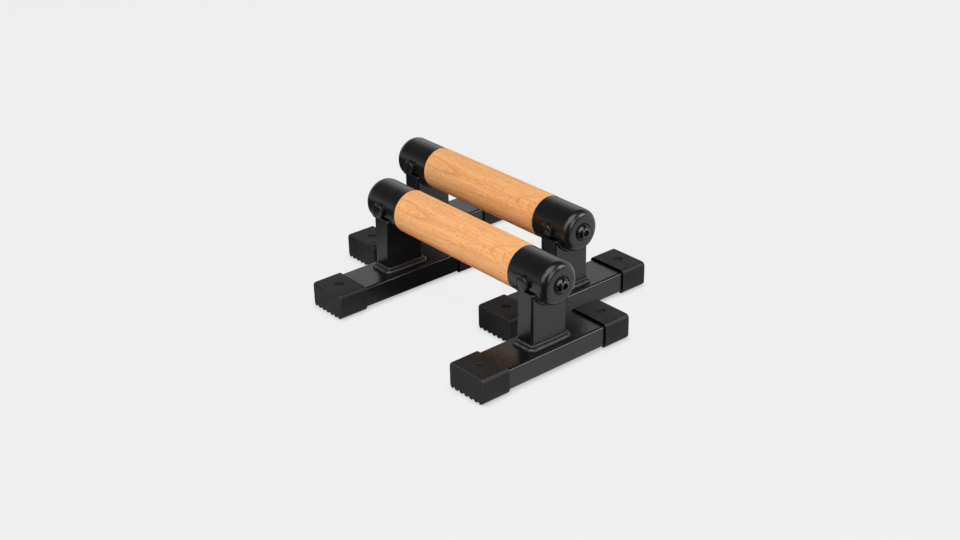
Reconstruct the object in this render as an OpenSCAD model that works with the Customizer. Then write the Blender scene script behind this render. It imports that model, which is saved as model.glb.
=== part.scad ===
// Pair of low parallettes: a round wooden handle in two steel cups, each cup on a
// post of rectangular tube, each post welded on a foot tube with two rubber caps.
// X runs along the handles, Y across them, Z up. The origin is the centre of the
// pair's footprint, on the floor.

/* [Bar] */
// Height of the handle's axis above the floor
axis_h = 104.5; // [96:0.5:160]
// Length over the flat ends of the two cups
bar_len = 309; // [260:1:420]
// Distance from a cup's flat end to the middle of its post
post_inset = 30.25; // [26:0.25:32]

/* [Pair] */
// Distance across the bars between the two handles' axes
pair_spacing = 106; // [90:1:300]
// How far the rear bar is shifted along X from the front bar
pair_stagger = 78; // [60:1:90]

/* [Rectangular tube] */
// Wide side of the tube of posts and feet
tube_w = 50; // [46:1:54]
// Narrow side of that tube
tube_t = 25; // [22:1:28]
// Wall of that tube
tube_wall = 2; // [1.5:0.25:3]
// Outer corner radius of that tube
tube_r = 3; // [2:0.5:4]
// Length of a foot tube
foot_len = 208; // [180:1:280]

/* [Cups] */
// Outer diameter of a cup
cup_od = 50; // [48:1:54]
// Length of a cup
cup_len = 57; // [48:1:70]
// Wall of a cup's sleeve
cup_wall = 1.6; // [1.2:0.1:2.5]
// Thickness of a cup's closed end
cup_end_t = 7.5; // [6:0.5:9]
// Rounding of a cup's closed end
cup_edge_r = 9; // [5:0.5:10]
// Bevel on the outer edge of a cup's open rim
cup_rim_bevel = 0.5; // [0.2:0.1:0.8]
// Gap between a cup and what is shaped to its outside
seat_gap = 0.05; // [0.02:0.01:0.1]

/* [Handle] */
// How far the grip stands out past the outside of the cups
grip_proud = 0.4; // [0.1:0.1:2]
// Bevel on the edges of the grip's shoulders
grip_bevel = 0.6; // [0.2:0.1:1]
// Gap between a shoulder of the grip and a cup's rim
shoulder_gap = 0.2; // [0.1:0.1:1]
// Radial clearance of the handle's turned-down ends in the cups
handle_fit = 0.15; // [0.05:0.05:0.3]
// Gap between the handle's end and the inside of a cup's closed end
handle_end_gap = 0.5; // [0.2:0.1:2]
// Room in the wood beyond the tip of an end bolt
bolt_tip_room = 1; // [0.5:0.5:3]
// Bevel on the handle's ends
handle_bevel = 1.5; // [0.5:0.5:3]

/* [End bolts] */
// Thread diameter of the end bolts
bolt_d = 10; // [8:1:11]
// Length of an end bolt under its head
bolt_len = 40; // [38:1:60]
// Diameter of an end bolt's head
bolt_head_d = 17.5; // [15:0.5:18.5]
// Height of an end bolt's head
bolt_head_h = 5.5; // [4.5:0.25:6]
// Diameter of the flat on top of an end bolt's head
bolt_flat_d = 10; // [9:0.5:12]
// Height of the straight edge under the dome of an end bolt's head
bolt_rim_h = 0.6; // [0.3:0.1:1]
// Width across flats of the hexagon socket
socket_w = 6; // [5:0.5:6.5]
// Depth of the hexagon socket
socket_depth = 3.2; // [2.5:0.1:3.8]
// Radial clearance of a bolt in a tapped hole
thread_fit = 0.05; // [0.03:0.01:0.1]
// Radial clearance of a bolt in a plain hole
hole_fit = 0.4; // [0.2:0.1:0.8]

/* [End washers] */
// Outer diameter of a washer
washer_d = 20; // [19:0.5:21]
// Thickness of a washer
washer_t = 2; // [1.5:0.1:3]
// Radial clearance of a washer in its recess
recess_fit = 0.75; // [0.4:0.05:1]
// Depth of the recess in a cup's end
recess_depth = 1.8; // [1.2:0.1:3]

/* [Cross bolts] */
// Diameter of a cross bolt's shank
cross_d = 14; // [13:0.5:15]
// How far a cross bolt's shank reaches past the handle's axis
cross_reach = 11; // [9:0.5:16]
// Diameter of a cross bolt's head
cross_head_d = 17.5; // [16.5:0.5:20]
// How far a cross bolt's head stands out of the cup
cross_head_h = 6; // [4:0.5:8]
// Rise of the head's domed face over its rounded edge
cross_dome = 2; // [0.8:0.1:2.6]
// Rounding of the head's edge
cross_edge_r = 1.5; // [0.8:0.1:2]
// Radial clearance round a cross bolt's shank
cross_fit = 0.2; // [0.1:0.05:0.4]

/* [Welds] */
// Leg of the bead round a post's base
foot_weld = 5.4; // [3:0.2:6]
// Leg of the bead along a post's saddle
saddle_weld = 3.2; // [1.6:0.2:4]
// Room between a cross bolt's head and the top of the post under it
head_room = 1.8; // [1.4:0.1:3]
// Part of that room that stays open above the weld
head_clear = 0.3; // [0.2:0.1:0.6]

/* [Rubber caps] */
// Length of a rubber cap
cap_len = 37; // [30:0.5:50]
// Thickness of a cap's sides
cap_wall = 2.4; // [1.6:0.1:3]
// Thickness of a cap's top
cap_top = 3; // [2:0.1:4]
// Thickness of a cap's sole, grooves included
cap_sole = 2.6; // [2.4:0.1:4]
// Thickness of a cap's closed end
cap_end_t = 3; // [2:0.5:5]
// Rounding of a cap's upper long edges
cap_edge_r = 4; // [3:0.5:5]
// Rounding of a cap's lower long edges
cap_sole_r = 6; // [4:0.5:7]
// Rounding round a cap's closed end
cap_end_r = 2.2; // [1:0.2:3]
// Clearance between a cap and the tube in it
cap_fit = 0.1; // [0.05:0.05:0.3]
// Number of ribs under a cap's sole
rib_count = 7; // [5:1:9]
// Depth of the grooves between the ribs
rib_depth = 1.9; // [1:0.1:2.2]
// Rounding of the ribs' edges
rib_r = 2.7; // [2.2:0.1:3]
// Width of a groove between two ribs, where it is narrowest
rib_gap = 0.4; // [0.2:0.1:0.8]
// Diameter of the round dimple on a cap's top
dimple_d = 11; // [8:0.5:16]
// Depth of that dimple
dimple_depth = 1.3; // [0.4:0.1:1.8]

/* [Hidden] */
$fn = 72;

// Extra length of a cutting shape past the face that it opens
cut = 1;

// Least radius in the tube's inner corners
sharp_r = 0.5;

COAT = [0.17, 0.17, 0.175];
WELD = [0.21, 0.21, 0.215];
RUBBER = [0.13, 0.13, 0.13];
BLACK_STEEL = [0.1, 0.1, 0.11];
BEECH = [0.93, 0.66, 0.42];

// Places along X, measured from the middle of a bar
end_x = bar_len / 2;
post_x = end_x - post_inset;
cup_open_x = end_x - cup_len;

// Inner corner radius of the rectangular tube
tube_inner_r = max(tube_r - tube_wall, sharp_r);

// Heights
foot_bottom = cap_sole;
foot_top = foot_bottom + tube_t;
post_drop = cross_head_d / 2 + head_room;
post_top = axis_h - post_drop;

// Radii round the handle's axis
cup_r = cup_od / 2;
cup_inner_r = cup_r - cup_wall;
grip_r = cup_r + grip_proud;
tenon_r = cup_inner_r - handle_fit;
handle_half = end_x - cup_end_t - handle_end_gap;
tenon_len = handle_half - cup_open_x + shoulder_gap;

// End bolt, from the washer's outer face inwards
bolt_seat_x = end_x - recess_depth + washer_t;
bolt_tip_x = bolt_seat_x - bolt_len;
bolt_bore_x = bolt_tip_x - bolt_tip_room;
bolt_hole_r = bolt_d / 2 + hole_fit;
recess_r = washer_d / 2 + recess_fit;

// Sphere that domes an end bolt's head: it passes the rim and the flat's edge
dome_z = ((bolt_flat_d / 2) ^ 2 + bolt_head_h ^ 2 - (bolt_head_d / 2) ^ 2 - bolt_rim_h ^ 2)
    / (2 * (bolt_head_h - bolt_rim_h));
dome_r = sqrt((bolt_flat_d / 2) ^ 2 + (bolt_head_h - dome_z) ^ 2);

// Cross bolt
cross_hole_r = cross_d / 2 + cross_fit;
cross_face = cup_r + cross_head_h;
cross_edge_x = cross_head_d / 2 - cross_edge_r;
cross_edge_z = cross_face - cross_dome - cross_edge_r;

// Sphere of the head's dome, tangent to its rounded edge, and the radius at which they meet
cross_dome_r = (cross_edge_x ^ 2 + (cross_dome + cross_edge_r) ^ 2 - cross_edge_r ^ 2)
    / (2 * cross_dome);
cross_meet_x = cross_edge_x * cross_dome_r / (cross_dome_r - cross_edge_r);

// Half of the angle that the saddle's bead spans under the cup
saddle_half = min(
    asin(min(1, (tube_w / 2) / (cup_r + saddle_weld))),
    acos(post_drop / cup_r)
);

// Rubber cap
cap_w = tube_w + 2 * cap_wall;
cap_h = cap_sole + tube_t + cap_top;
cap_outer_y = foot_len / 2 + cap_end_t;
cap_inner_y = cap_outer_y - cap_len;
rib_pitch = cap_w / rib_count;
rib_edge = sqrt(2 * rib_r * rib_depth - rib_depth ^ 2);

// Rectangle with round corners, centred
module rounded_rect(w, h, r) {
    square([w - 2 * r, h], center = true);
    square([w, h - 2 * r], center = true);
    for (x = [-1, 1], y = [-1, 1])
        translate([x * (w / 2 - r), y * (h / 2 - r)]) circle(r);
}

// Section of the rectangular tube, its wide side along the second axis
module tube_section() {
    difference() {
        rounded_rect(tube_t, tube_w, tube_r);
        rounded_rect(tube_t - 2 * tube_wall, tube_w - 2 * tube_wall, tube_inner_r);
    }
}

// A cylinder of radius r along X, between two places
module rod_x(r, from, to) {
    translate([from, 0, axis_h]) rotate([0, 90, 0]) cylinder(r = r, h = to - from);
}

// A cylinder of radius r along Y at the post, between two places
module rod_y(r, from, to) {
    translate([post_x, to, axis_h]) rotate([90, 0, 0]) cylinder(r = r, h = to - from);
}

// Quarter disc: the section of a weld bead, in the corner of its two legs
module bead_section(leg) {
    intersection() {
        circle(leg);
        square(leg);
    }
}

// Half section of the handle: a turned-down end, the grip, and the other end, its axis upright
module handle_profile() {
    lower_end = [
        [0, 0],
        [tenon_r - handle_bevel, 0],
        [tenon_r, handle_bevel],
        [tenon_r, tenon_len],
        [grip_r - grip_bevel, tenon_len],
        [grip_r, tenon_len + grip_bevel]
    ];
    upper_end = [for (i = [len(lower_end) - 1 : -1 : 0]) [lower_end[i].x, 2 * handle_half - lower_end[i].y]];
    polygon(concat(lower_end, upper_end));
}

// Turned handle, bored along its axis for the end bolts and across it for the cross bolts
module handle() {
    color(BEECH) difference() {
        translate([-handle_half, 0, axis_h]) rotate([0, 90, 0]) rotate_extrude() handle_profile();
        for (side = [0, 1]) mirror([side, 0, 0]) {
            rod_x(bolt_hole_r, bolt_bore_x, handle_half + cut);
            rod_y(cross_hole_r, -tenon_r - cut, cross_reach + cross_fit);
        }
    }
}

// Half section of a cup, its axis upright and its closed end at the top
module cup_profile() {
    difference() {
        union() {
            square([cup_r, cup_len - cup_edge_r]);
            square([cup_r - cup_edge_r, cup_len]);
            translate([cup_r - cup_edge_r, cup_len - cup_edge_r]) circle(cup_edge_r);
        }
        translate([0, -cut]) square([cup_inner_r, cup_len - cup_end_t + cut]);
        translate([0, cup_len - recess_depth]) square([recess_r, recess_depth + cut]);
        translate([0, -cut]) square([bolt_hole_r, cup_len + 2 * cut]);
        translate([cup_r, 0]) rotate(45) square(cup_rim_bevel * sqrt(2), center = true);
    }
}

// Steel cup with its end recess and the hole for the cross bolt
module cup() {
    color(COAT) difference() {
        translate([cup_open_x, 0, axis_h]) rotate([0, 90, 0]) rotate_extrude() cup_profile();
        rod_y(cross_hole_r, -cup_r - cut, 0);
    }
}

// Post: upright tube, its top cut to cradle the cup
module post() {
    color(COAT) difference() {
        translate([post_x, 0, foot_top]) linear_extrude(post_top - foot_top) tube_section();
        rod_x(cup_r + seat_gap, cup_open_x - cut, end_x + cut);
    }
}

// Foot: the same tube lying across the bar
module foot_tube() {
    color(COAT)
        translate([post_x, foot_len / 2, foot_bottom + tube_t / 2])
            rotate([90, 0, 0]) linear_extrude(foot_len) rotate(90) tube_section();
}

// Bead under the cup: an arc on each wide face of the post, a short run on each narrow one
module cup_weld() {
    run_h = head_room - head_clear;
    color(WELD) {
        for (face = [0, 1])
            translate([post_x, 0, axis_h]) mirror([face, 0, 0]) translate([tube_t / 2, 0, 0])
                rotate([0, 90, 0]) rotate(-saddle_half) rotate_extrude(angle = 2 * saddle_half)
                    translate([cup_r + seat_gap, 0]) bead_section(saddle_weld);
        for (face = [0, 1]) mirror([0, face, 0]) difference() {
            translate([post_x - tube_t / 2 + tube_r, 0, post_top])
                cube([tube_t - 2 * tube_r, tube_w / 2, run_h]);
            rod_x(cup_r + seat_gap, cup_open_x - cut, end_x + cut);
        }
    }
}

// Bead all round the post's base, with round corners
module foot_weld_bead() {
    flat_x = tube_t / 2 - tube_r;
    flat_y = tube_w / 2 - tube_r;
    color(WELD) translate([post_x, 0, foot_top]) {
        for (side = [0, 1]) mirror([side, 0, 0]) translate([tube_t / 2, flat_y, 0])
            rotate([90, 0, 0]) linear_extrude(2 * flat_y) bead_section(foot_weld);
        for (side = [0, 1]) mirror([0, side, 0]) translate([-flat_x, tube_w / 2, 0])
            rotate([90, 0, 90]) linear_extrude(2 * flat_x) bead_section(foot_weld);
        for (x = [0, 1], y = [0, 1]) mirror([x, 0, 0]) mirror([0, y, 0])
            translate([flat_x, flat_y, 0]) rotate_extrude(angle = 90)
                translate([tube_r, 0]) bead_section(foot_weld);
    }
}

// Section of a cap's outside, standing on its sole
module cap_section() {
    intersection() {
        rounded_rect(cap_w, 2 * cap_h, cap_edge_r);
        translate([0, cap_h]) rounded_rect(cap_w, 2 * cap_h, cap_sole_r);
    }
}

// Section of a groove between two ribs: their round edges meet the floor on both sides of it
module groove_section() {
    side_x = rib_edge + rib_gap / 2;
    difference() {
        translate([-side_x, -cut]) square([2 * side_x, rib_depth + cut]);
        for (side = [-1, 1])
            translate([side * side_x, rib_r]) circle(rib_r);
    }
}

// Outer block of a rubber cap, rounded along its length and round its closed end
module cap_block() {
    intersection() {
        translate([0, cap_outer_y, 0]) rotate([90, 0, 0]) linear_extrude(cap_len) cap_section();
        translate([0, cap_inner_y, -cut]) linear_extrude(cap_h + 2 * cut)
            rounded_rect(cap_w, 2 * cap_len, cap_end_r);
        translate([-cap_w / 2 - cut, cap_inner_y, cap_h / 2]) rotate([90, 0, 90])
            linear_extrude(cap_w + 2 * cut) rounded_rect(2 * cap_len, cap_h, cap_end_r);
    }
}

// Rubber cap on a foot tube's end, with a ribbed sole and a round dimple on top
module foot_cap() {
    fit_t = tube_t + 2 * cap_fit;
    fit_w = tube_w + 2 * cap_fit;
    color(RUBBER) translate([post_x, 0, 0]) difference() {
        cap_block();
        translate([0, foot_len / 2 + cap_fit, foot_bottom + tube_t / 2]) rotate([90, 0, 0])
            linear_extrude(cap_len + cut) rounded_rect(fit_w, fit_t, tube_r + cap_fit);
        for (i = [1 : rib_count - 1])
            translate([i * rib_pitch - cap_w / 2, cap_outer_y + cut, 0])
                rotate([90, 0, 0]) linear_extrude(cap_len + 2 * cut) groove_section();
        translate([0, cap_outer_y - cap_len / 2, cap_h - dimple_depth])
            cylinder(d = dimple_d, h = dimple_depth + cut);
    }
}

// Button head bolt with a hexagon socket, screwed into the cross bolt
module end_bolt() {
    color(BLACK_STEEL) difference() {
        union() {
            rod_x(bolt_d / 2, bolt_tip_x, bolt_seat_x);
            translate([bolt_seat_x, 0, axis_h]) rotate([0, 90, 0]) rotate_extrude() intersection() {
                square([bolt_head_d / 2, bolt_head_h]);
                translate([0, dome_z]) circle(dome_r);
            }
        }
        translate([bolt_seat_x + bolt_head_h - socket_depth, 0, axis_h]) rotate([0, 90, 0])
            cylinder(r = socket_w / sqrt(3), h = socket_depth + cut, $fn = 6);
    }
}

// Flat washer under an end bolt's head
module end_washer() {
    color(BLACK_STEEL) difference() {
        rod_x(washer_d / 2, end_x - recess_depth, bolt_seat_x);
        rod_x(bolt_hole_r, end_x - recess_depth - cut, bolt_seat_x + cut);
    }
}

// Half section of a cross bolt's head, its axis upright and its face at the top
module cross_head_profile() {
    square([cross_head_d / 2, cross_edge_z]);
    translate([cross_edge_x, cross_edge_z]) circle(cross_edge_r);
    intersection() {
        square([cross_meet_x, cross_face]);
        translate([0, cross_face - cross_dome_r]) circle(cross_dome_r);
    }
}

// Cross bolt: smooth round head outside the cup, shank through cup and wood, tapped for the end bolt
module cross_bolt() {
    color(BLACK_STEEL) difference() {
        union() {
            rod_y(cross_d / 2, -cup_r, cross_reach);
            difference() {
                translate([post_x, 0, axis_h]) rotate([90, 0, 0])
                    rotate_extrude() cross_head_profile();
                rod_x(cup_r + seat_gap, cup_open_x - cut, end_x + cut);
            }
        }
        rod_x(bolt_d / 2 + thread_fit, post_x - cross_d, post_x + cross_d);
    }
}

// Places of the two bars, of a bar's two ends, and of a foot's two caps
module front() { translate([pair_stagger / 2, -pair_spacing / 2, 0]) children(); }
module rear() { translate([-pair_stagger / 2, pair_spacing / 2, 0]) children(); }
module left() { mirror([1, 0, 0]) children(); }
module right() { children(); }
module near() { mirror([0, 1, 0]) children(); }
module far() { children(); }

front() handle();  // front_handle
front() left() cup();  // front_left_cup
front() right() cup();  // front_right_cup
front() left() post();  // front_left_post
front() right() post();  // front_right_post
front() left() foot_tube();  // front_left_foot_tube
front() right() foot_tube();  // front_right_foot_tube
front() left() cup_weld();  // front_left_cup_weld
front() right() cup_weld();  // front_right_cup_weld
front() left() foot_weld_bead();  // front_left_foot_weld
front() right() foot_weld_bead();  // front_right_foot_weld
front() left() near() foot_cap();  // front_left_near_foot_cap
front() left() far() foot_cap();  // front_left_far_foot_cap
front() right() near() foot_cap();  // front_right_near_foot_cap
front() right() far() foot_cap();  // front_right_far_foot_cap
front() left() end_bolt();  // front_left_end_bolt
front() right() end_bolt();  // front_right_end_bolt
front() left() end_washer();  // front_left_end_washer
front() right() end_washer();  // front_right_end_washer
front() left() cross_bolt();  // front_left_cross_bolt
front() right() cross_bolt();  // front_right_cross_bolt
rear() handle();  // rear_handle
rear() left() cup();  // rear_left_cup
rear() right() cup();  // rear_right_cup
rear() left() post();  // rear_left_post
rear() right() post();  // rear_right_post
rear() left() foot_tube();  // rear_left_foot_tube
rear() right() foot_tube();  // rear_right_foot_tube
rear() left() cup_weld();  // rear_left_cup_weld
rear() right() cup_weld();  // rear_right_cup_weld
rear() left() foot_weld_bead();  // rear_left_foot_weld
rear() right() foot_weld_bead();  // rear_right_foot_weld
rear() left() near() foot_cap();  // rear_left_near_foot_cap
rear() left() far() foot_cap();  // rear_left_far_foot_cap
rear() right() near() foot_cap();  // rear_right_near_foot_cap
rear() right() far() foot_cap();  // rear_right_far_foot_cap
rear() left() end_bolt();  // rear_left_end_bolt
rear() right() end_bolt();  // rear_right_end_bolt
rear() left() end_washer();  // rear_left_end_washer
rear() right() end_washer();  // rear_right_end_washer
rear() left() cross_bolt();  // rear_left_cross_bolt
rear() right() cross_bolt();  // rear_right_cross_bolt
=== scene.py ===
"""The looks of a pair of low parallettes: beech handles in black steel cups.

Everything is in metres. The part's own frame has X along the handles, Y from the front bar to the
rear one and Z up, with the origin on the floor in the middle of the pair. A new piece is built in
the frame of its bar: the origin is then on the handle's axis, in the middle of the bar, and the
piece is drawn for the bar's right end and mirrored for the left one. Cross bolts and caps are drawn
about a place of their own.
"""
import math

import bmesh
import bpy
from mathutils import Matrix, Vector, noise


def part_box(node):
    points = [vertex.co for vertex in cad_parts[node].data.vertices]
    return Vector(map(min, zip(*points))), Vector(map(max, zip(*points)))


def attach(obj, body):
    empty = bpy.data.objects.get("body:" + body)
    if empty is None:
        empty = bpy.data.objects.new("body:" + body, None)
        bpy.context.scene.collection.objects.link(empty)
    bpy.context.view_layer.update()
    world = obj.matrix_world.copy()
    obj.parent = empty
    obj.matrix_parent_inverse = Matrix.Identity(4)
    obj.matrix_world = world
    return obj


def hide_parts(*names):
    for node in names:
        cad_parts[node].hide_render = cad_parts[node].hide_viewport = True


MM = 0.001
TAU = 2 * math.pi
QUARTER = math.pi / 2
UP = Vector((0, 0, 1))
WHITE = (1.0, 1.0, 1.0, 1.0)

BARS = ("front", "rear")
SIDES = ("left", "right")
ENDS = ("near", "far")

# The photograph's camera, with its lens and sensor in millimetres
CAMERA_PLACE = Vector((1.1814, -0.9916, 0.8084))
CAMERA_AZIMUTH = math.radians(50.01)
CAMERA_ELEVATION = math.radians(26.71)
CAMERA_ROLL = math.radians(-1.10)
CAMERA_LENS = 55.43
SENSOR_WIDTH = 36.0
CLIP_NEAR = 0.05
CLIP_FAR = 100.0

# Studio: pale all round, with a ceiling that comes lower on the camera's side and a dark front
BACKGROUND = (0.871, 0.871, 0.871, 1.0)
CEILING = (0.065, 0.065, 0.066, 1.0)
DARK_FRONT = (0.006, 0.006, 0.006, 1.0)
WORLD_LIGHT = 0.9
FRONT_AZIMUTH = math.radians(43)
FRONT_START = 0.70
FRONT_FULL = 0.88
CEILING_START = -0.05
CEILING_FULL = 0.25
CEILING_LEAN = 0.6
LAMP_AIM = Vector((0, 0, 0.05))

# Floor: how bright it is seen, and its painted contact shadow where something touches it
FLOOR_HALF = 9.0
FLOOR_ROUGHNESS = 0.9
FLOOR_GLOW = 0.96
TOUCH_REACH = 0.009
TOUCH_DARK = 0.58
TOUCH_SAMPLES = 8

# Painted shade on the floor in gloss and in bounced light: two distances from the middle, and the light's
# share at each
SHADE_NEAR = (0.07, 0.17, 0.05, 0.80)
SHADE_FAR = (0.24, 0.38, 0.0, 0.20)
SHADE_LEFT = (-0.28, -0.12, 0.08, 1.0)
BOUNCE = (0.0, 0.16, 0.32, 1.0)

# Beech colours and how strongly each one shows over the ground
BEECH_DARK = (0.890, 0.368, 0.115, 1)
BEECH_LIGHT = (0.985, 0.545, 0.235, 1)
LAYER_COLOUR = (0.720, 0.270, 0.068, 1)
LAYER_SHARE = 0.20
LINE_COLOUR = (0.560, 0.190, 0.045, 1)
LINE_SHARE = 0.30
UNDERSIDE_SHADE_COLOUR = (0.680, 0.155, 0.018, 1)
UNDERSIDE_SHADE_SHARE = 0.85
FLECK_COLOUR = (0.440, 0.135, 0.030, 1)
FLECK_SHARE = 0.75
BEECH_GLOSS = 0.30

# Growth layers: the plank's face looks forward and up, and they dip towards the right end
FACE_ACROSS = -0.74
FACE_UP = 0.67
LAYER_SLOPE = -0.012
DIP_START = 0.056
DIP_FULL = 0.125
DIP_DEPTH = 0.0095
WAVE_DEPTH = 0.0034
LAYERS_PER_M = 430.0
LINES_PER_M = 900.0

# Painted shade: a redder, darker colour on the handle's lower side, by the depth below its axis
UNDERSIDE_SHADE_START = 0.002
UNDERSIDE_SHADE_FULL = 0.019
UNDERSIDE_SHADE_WAVE = 0.006

# Grain: how often each pattern changes per metre along the handle, across it and up
WAVE_GRAIN = (11.0, 38.0, 38.0)
COARSE_GRAIN = (24.0, 430.0, 430.0)
FINE_GRAIN = (190.0, 1500.0, 1500.0)
PATCH_GRAIN = (16.0, 70.0, 70.0)

# Where in its noise, from 0 to 1, each pattern starts and is full
FIBRE_EDGE = (0.34, 0.62)
LAYER_EDGE = (0.36, 0.66)
LINE_EDGE = (0.60, 0.74)
BUNCH_EDGE = (0.38, 0.60)
BUNCH_LEAST = 0.35

# Flecks: cells per metre, the share of the cells that have a fleck, and where in a cell it fades out
LONG_FLECKS = (125.0, 950.0, 950.0)
LONG_FLECK_SHARE = 0.65
SHORT_FLECKS = (210.0, 1300.0, 1300.0)
SHORT_FLECK_SHARE = 0.60
SHORT_FLECK_SHIFT = 3.7
FLECK_RIM = 0.34
FLECK_CORE = 0.14
FLECK_FADE = 0.2
FLECK_PIT = 0.8

# The Mix node's sockets for colours, by number because its other kinds have the same names
MIX_SHARE = 0
MIX_FIRST = 6
MIX_SECOND = 7
MIX_RESULT = 2

# Where soft clouds of lighter colour start and are full in their noise
CLOUD_LOW = 0.3
CLOUD_HIGH = 0.7

# Powder coat, also on the welds; the foot welds' coat is a lighter copy, a painted sheen
COAT_COLOUR = (0.0045, 0.0045, 0.0046)
WELD_SHEEN_COLOUR = (0.022, 0.022, 0.0222)
COAT_CLOUDS_PER_M = 28.0
COAT_DARKER = 0.82
COAT_LIGHTER = 1.18
COAT_GLOSS = 0.62
COAT_ROUGH_SPAN = 0.08

# Rubber, with a painted highlight where its surface turns from one side to the next
RUBBER_DARK = (0.008, 0.008, 0.0082, 1)
RUBBER_LIGHT = (0.014, 0.014, 0.014, 1)
RUBBER_EDGE_HIGHLIGHT = (0.030, 0.030, 0.030, 1)
RUBBER_CLOUDS_PER_M = 45.0
RUBBER_TOOTH_PER_M = 1600.0
RUBBER_FLAT = 0.96
RUBBER_ROUND = 0.80
RUBBER_GLOSS = 0.3

# Black steel
END_BOLT_COLOUR = (0.003, 0.003, 0.0032)
CROSS_BOLT_COLOUR = (0.005, 0.005, 0.0052)
WASHER_COLOUR = (0.004, 0.004, 0.0042)
SMUDGES_PER_M = 260.0
SMUDGE_ROUGH_SPAN = 0.10

# Round pieces and arcs
LATHE_STEPS = 96
ARC_STEPS = 7
SHARP_ANGLE = math.radians(32)
SMALL_ROUND = 0.25 * MM

# Handle
GRIP_ROUND = 0.35 * MM
HANDLE_END_ROUND = 1.2 * MM
BOLT_HOLE_R = 5.4 * MM
BOLT_TIP_ROOM = 1.0 * MM
CUP_WALL = 1.6 * MM
HANDLE_FIT = 0.15 * MM
SHOULDER_GAP = 0.2 * MM

# Cups
CUP_EDGE_ROUND = 9.0 * MM
CUP_RIM_ROUND = 0.5 * MM
CUP_END_T = 7.5 * MM
RECESS_R = 10.75 * MM
RECESS_DEPTH = 1.8 * MM
RECESS_ROUND = 0.45 * MM

# End bolts
BOLT_R = 5.0 * MM
BOLT_TIP_BEVEL = 0.8 * MM
BOLT_HEAD_H = 5.5 * MM
BOLT_RIM_H = 0.6 * MM
BOLT_FLAT_R = 5.0 * MM
BOLT_EDGE_ROUND = 0.3 * MM
BOLT_STEPS = 72
BOLT_DOME_STEPS = 12
SOCKET_W = 6.0 * MM
SOCKET_DEPTH = 3.2 * MM
SOCKET_MOUTH_R = 3.75 * MM
SOCKET_POINT = 1.0 * MM

# Cross bolts, and the share of its radius at which a low dome has risen by half
CROSS_R = 7.0 * MM
CROSS_REACH = 11.0 * MM
CROSS_SEAT = 23.3 * MM
CROSS_DOME = 1.7 * MM
CROSS_EDGE_ROUND = 1.3 * MM
CROSS_DOME_STEPS = 8
CROSS_HALF_RISE = 0.7

# Welds: ripples and lumps along the bead
TUBE_R = 3.0 * MM
RIPPLE_PITCH = 1.9 * MM
RIPPLE_DEPTH = 0.075
RIPPLE_SAMPLES = 6
LUMP_LENGTH = 2.6 * RIPPLE_PITCH
LUMP_SHARE = 0.9
FOOT_WELD_SEEDS = (3.1, 7.7)
CUP_WELD_SEEDS = (5.3, 2.9)

# Foot weld: each lobe's centre, outward and up, and its radius in millimetres
FOOT_LOBE = (2.40, 1.20, 2.75)
POST_LOBE = (0.40, 4.90, 1.60)
FOOT_WELD_STEPS = 26
FOOT_WELD_ACROSS = 0.15
FOOT_WELD_SINK = 0.4 * MM
FOOT_WELD_UNDER = 0.3 * MM

# Cup weld
CUP_WELD_LEG = 4.0 * MM
CUP_WELD_THIN = 1.2 * MM
CUP_WELD_SINK = 0.8 * MM
CUP_WELD_STEPS = 14
CUP_WELD_BOTTOM = 0.9

# Rubber caps
CAP_TOP_ROUND = 5.5 * MM
CAP_SOLE_ROUND = 6.0 * MM
CAP_END_ROUND = 2.8 * MM
CAP_MOUTH_ROUND = 0.35 * MM
CAP_LIP = 0.25 * MM
CAP_FLARE = 5.0 * MM
CAP_FLARE_LOW = 6.0 * MM
CAP_FIT = 0.1 * MM
CAP_END_T = 3.0 * MM
CAP_ARC_STEPS = 6
RIB_COUNT = 7
RIB_DEPTH = 2.4 * MM
RIB_ROUND = 3.0 * MM
RIB_GAP = 1.6 * MM
RIB_FLARE = 1.2 * MM
SOLE_STEP = 0.2 * MM
DIMPLE_R = 5.5 * MM
DIMPLE_DEPTH = 1.3 * MM
DIMPLE_LIP = 0.3 * MM
DIMPLE_STEPS = 64


def box_middle(node):
    low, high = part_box(node)
    return (Vector(low) + Vector(high)) / 2


def box_size(node):
    low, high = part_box(node)
    return Vector(high) - Vector(low)


def half_height(node):
    low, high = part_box(node)
    return (high[2] - low[2]) / 2


def bar_origin(bar):
    """The middle of a bar, on its handle's axis."""
    return box_middle(f"{bar}_handle")


def span_along(bar, node):
    """Where a node starts and ends along X, from the middle of its bar."""
    low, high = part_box(node)
    middle = bar_origin(bar)
    return low[0] - middle.x, high[0] - middle.x


def rounded_path(corners, closed=False):
    """The points of an outline through (x, y, radius) corners, each turned into an arc of its radius."""
    points = []
    last = len(corners) - 1
    for i, (x, y, radius) in enumerate(corners):
        here = Vector((x, y))
        if radius == 0 or (not closed and i in (0, last)):
            points.append((x, y))
            continue
        before = (Vector(corners[i - 1][:2]) - here).normalized()
        after = (Vector(corners[(i + 1) % len(corners)][:2]) - here).normalized()
        half = before.angle(after) / 2
        centre = here + (before + after).normalized() * radius / math.sin(half)
        start = here + before * radius / math.tan(half) - centre
        end = here + after * radius / math.tan(half) - centre
        turn = math.pi - 2 * half
        for k in range(ARC_STEPS + 1):
            share = k / ARC_STEPS
            arm = (start * math.sin((1 - share) * turn) + end * math.sin(share * turn)) / math.sin(turn)
            points.append(tuple(centre + arm))
    return points


def skin(rings, closed=False):
    """Vertices and faces over rings of points, where a ring of one point is a pole."""
    verts = []
    numbered = []
    for ring in rings:
        numbered.append(range(len(verts), len(verts) + len(ring)))
        verts.extend(ring)
    pairs = list(zip(numbered, numbered[1:]))
    if closed:
        pairs.append((numbered[-1], numbered[0]))
    faces = []
    for low, high in pairs:
        for k in range(max(len(low), len(high))):
            n = k + 1
            corners = [low[k % len(low)], low[n % len(low)], high[n % len(high)], high[k % len(high)]]
            faces.append(list(dict.fromkeys(corners)))
    return verts, faces


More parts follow.
